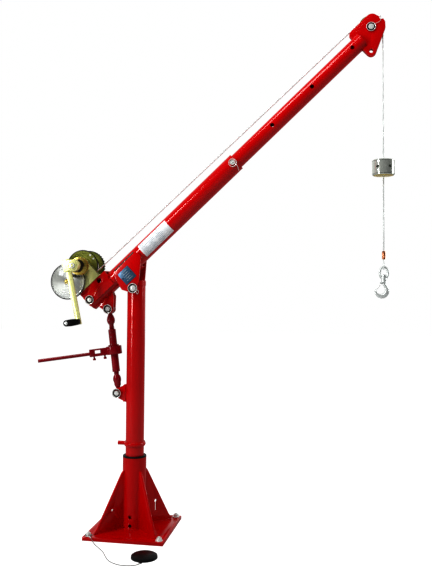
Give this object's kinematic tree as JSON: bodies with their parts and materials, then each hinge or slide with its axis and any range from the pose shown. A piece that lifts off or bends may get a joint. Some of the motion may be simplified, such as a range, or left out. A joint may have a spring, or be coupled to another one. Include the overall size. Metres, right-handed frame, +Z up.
{
  "type": "floor-mounted davit crane",
  "caption": "Hand-cranked davit crane: socketed base, turning mast, telescopic boom raised by a ratchet screw jack, gear winch, wire rope, weight and hook.",
  "frame": {"origin": "centre of the base plate's underside, on the mast's axis", "axes": "+Z up along the mast, +X the way the boom points at rest, the winch crank is on the -Y side"},
  "size_m": [1.6727, 0.6325, 2.4743],
  "materials": {
    "red_paint": "glossy red powder coat",
    "jack_paint": "dark red paint",
    "clear_zinc": "clear zinc plate",
    "yellow_zinc": "yellow zinc plate",
    "olive_zinc": "olive passivated zinc",
    "polished_steel": "bright turned steel",
    "galvanised": "galvanised",
    "wire_rope": "galvanised wire rope",
    "copper": "pressed copper",
    "black_plastic": "black nylon",
    "blue_plate": "printed blue plate",
    "brake_lining": "friction lining"
  },
  "bodies": {
    "base": {"base_plate": "red_paint", "socket_tube": "red_paint", "gusset_front_left": "red_paint", "gusset_front_right": "red_paint", "gusset_back_right": "red_paint", "gusset_back_left": "red_paint", "anchor_bolt_front_left": "clear_zinc", "anchor_bolt_front_right": "clear_zinc", "anchor_bolt_back_right": "clear_zinc", "anchor_bolt_back_left": "clear_zinc", "upper_bushing": "black_plastic", "lower_bushing": "black_plastic", "socket_cap": "black_plastic", "cap_lanyard": "wire_rope"},
    "mast": {"mast_tube": "red_paint", "mast_collar": "red_paint", "jack_lug": "red_paint", "luff_pivot_pin": "clear_zinc", "jack_lower_pin": "clear_zinc"},
    "boom": {"boom_outer_tube": "red_paint", "saddle": "red_paint", "jack_ears": "red_paint", "jack_upper_pin": "clear_zinc", "winch_channel": "red_paint", "heel_bolt": "clear_zinc", "nameplate": "blue_plate", "winch_frame": "yellow_zinc", "gear_guard": "clear_zinc", "rope_run": "wire_rope"},
    "extension": {"boom_inner_tube": "red_paint", "head_plates": "red_paint", "sheave_pin": "clear_zinc", "rope_over_sheave": "wire_rope"},
    "sheave_wheel": {"sheave": "yellow_zinc"},
    "lock_pin": {"extension_pin": "clear_zinc"},
    "load_line": {"rope_fall": "wire_rope"},
    "hoist": {"overhaul_weight": "polished_steel", "rope_tail": "wire_rope", "ferrule": "copper", "rope_eye": "wire_rope", "swivel_bow": "galvanised"},
    "swivel_hook": {"hook": "galvanised"},
    "latch": {"hook_latch": "clear_zinc"},
    "drum": {"winch_drum": "olive_zinc", "rope_windings": "wire_rope"},
    "intermediate": {"lay_shaft": "yellow_zinc", "large_gear": "yellow_zinc"},
    "crank": {"crank_shaft": "yellow_zinc", "brake_lining": "brake_lining", "brake_hub": "yellow_zinc", "crank_block": "yellow_zinc", "crank_arm": "yellow_zinc", "crank_nut": "clear_zinc"},
    "grip": {"crank_grip": "black_plastic"},
    "pawl": {"brake_pawl": "yellow_zinc"},
    "jack_lower": {"jack_lower_screw": "jack_paint"},
    "jack_upper": {"jack_upper_screw": "jack_paint"},
    "jack_carrier": {"jack_thrust_ring": "jack_paint"},
    "barrel": {"jack_barrel": "jack_paint"},
    "lever": {"ratchet_lever": "jack_paint"}
  },
  "joints": [
    {"name": "mast_swivel", "type": "hinge", "parent": "base", "child": "mast", "pos_m": [0, 0, 0.35], "axis": [0, 0, 1], "continuous": true},
    {"name": "boom_luff", "type": "hinge", "parent": "mast", "child": "boom", "pos_m": [0, 0, 1.172], "axis": [0, -1, 0], "range_deg": [-43.3, 0]},
    {"name": "boom_extend", "type": "slide", "parent": "boom", "child": "extension", "axis": [0.7278, 0, 0.6858], "range_m": [-0.776, 0], "deforming": ["rope_run"]},
    {"name": "lock_pin_pull", "type": "slide", "parent": "boom", "child": "lock_pin", "axis": [0, -1, 0], "range_m": [0, 0.08]},
    {"name": "sheave_spin", "type": "hinge", "parent": "extension", "child": "sheave_wheel", "pos_m": [1.13552, 0, 2.41066], "axis": [0, 1, 0], "range_deg": [-440, 1103]},
    {"name": "load_swing", "type": "hinge", "parent": "extension", "child": "load_line", "pos_m": [1.13552, 0, 2.41066], "axis": [0, -1, 0], "range_deg": [-0.5, 43.8], "deforming": ["rope_over_sheave"]},
    {"name": "hoist_travel", "type": "slide", "parent": "load_line", "child": "hoist", "axis": [0, 0, 1], "range_m": [-1.048, 0.418], "deforming": ["rope_fall"]},
    {"name": "hook_swivel", "type": "hinge", "parent": "hoist", "child": "swivel_hook", "pos_m": [1.19002, 0, 1.222], "axis": [0, 0, 1], "continuous": true},
    {"name": "hook_latch_swing", "type": "hinge", "parent": "swivel_hook", "child": "latch", "pos_m": [1.17902, 0, 1.203], "axis": [0, -1, 0], "range_deg": [0, 30], "stiffness_Nm_per_rad": 0.01},
    {"name": "crank_spin", "type": "hinge", "parent": "boom", "child": "crank", "pos_m": [-0.26369, 0, 1.27802], "axis": [0, 1, 0], "range_deg": [-18100, 7200]},
    {"name": "intermediate_spin", "type": "hinge", "parent": "boom", "child": "intermediate", "pos_m": [-0.32786, 0, 1.20262], "axis": [0, 1, 0], "range_deg": [-1601, 4023]},
    {"name": "drum_spin", "type": "hinge", "parent": "boom", "child": "drum", "pos_m": [-0.26369, 0, 1.27802], "axis": [0, 1, 0], "range_deg": [-1035, 412]},
    {"name": "grip_spin", "type": "hinge", "parent": "crank", "child": "grip", "pos_m": [-0.23468, -0.25, 1.01137], "axis": [0, 1, 0], "continuous": true},
    {"name": "pawl_swing", "type": "hinge", "parent": "boom", "child": "pawl", "pos_m": [-0.29028, -0.09, 1.23033], "axis": [0, 1, 0], "range_deg": [0, 25], "stiffness_Nm_per_rad": 0.1},
    {"name": "jack_tilt", "type": "hinge", "parent": "mast", "child": "jack_lower", "pos_m": [-0.086, 0, 0.659], "axis": [0, -1, 0], "range_deg": [-0.2, 3.2]},
    {"name": "jack_extend", "type": "slide", "parent": "jack_lower", "child": "jack_upper", "axis": [-0.1226, 0, 0.9925], "range_m": [-0.001, 0.1255]},
    {"name": "jack_barrel_travel", "type": "slide", "parent": "jack_lower", "child": "jack_carrier", "axis": [-0.1226, 0, 0.9925], "range_m": [-0.001, 0.0635]},
    {"name": "jack_barrel_spin", "type": "hinge", "parent": "jack_carrier", "child": "barrel", "pos_m": [-0.086, 0, 0.659], "axis": [-0.1226, 0, 0.9925], "range_deg": [-5, 3525]},
    {"name": "jack_lever_swing", "type": "hinge", "parent": "jack_carrier", "child": "lever", "pos_m": [-0.086, 0, 0.659], "axis": [-0.1226, 0, 0.9925], "range_deg": [-60, 60]}
  ],
  "couplings": [
    {"joint": "intermediate_spin", "follows": "crank_spin", "ratio": -0.22222},
    {"joint": "drum_spin", "follows": "crank_spin", "ratio": 0.057143},
    {"joint": "hoist_travel", "follows": "crank_spin", "m_per_rad": 0.0033143},
    {"joint": "sheave_spin", "follows": "crank_spin", "ratio": -0.060813},
    {"joint": "load_swing", "follows": "boom_luff", "ratio": -1},
    {"joint": "jack_tilt", "follows": "boom_luff", "ratio": -0.069935},
    {"joint": "jack_extend", "follows": "boom_luff", "m_per_rad": -0.1642},
    {"joint": "jack_barrel_travel", "follows": "boom_luff", "m_per_rad": -0.082098},
    {"joint": "jack_barrel_spin", "follows": "boom_luff", "ratio": -81.25}
  ]
}
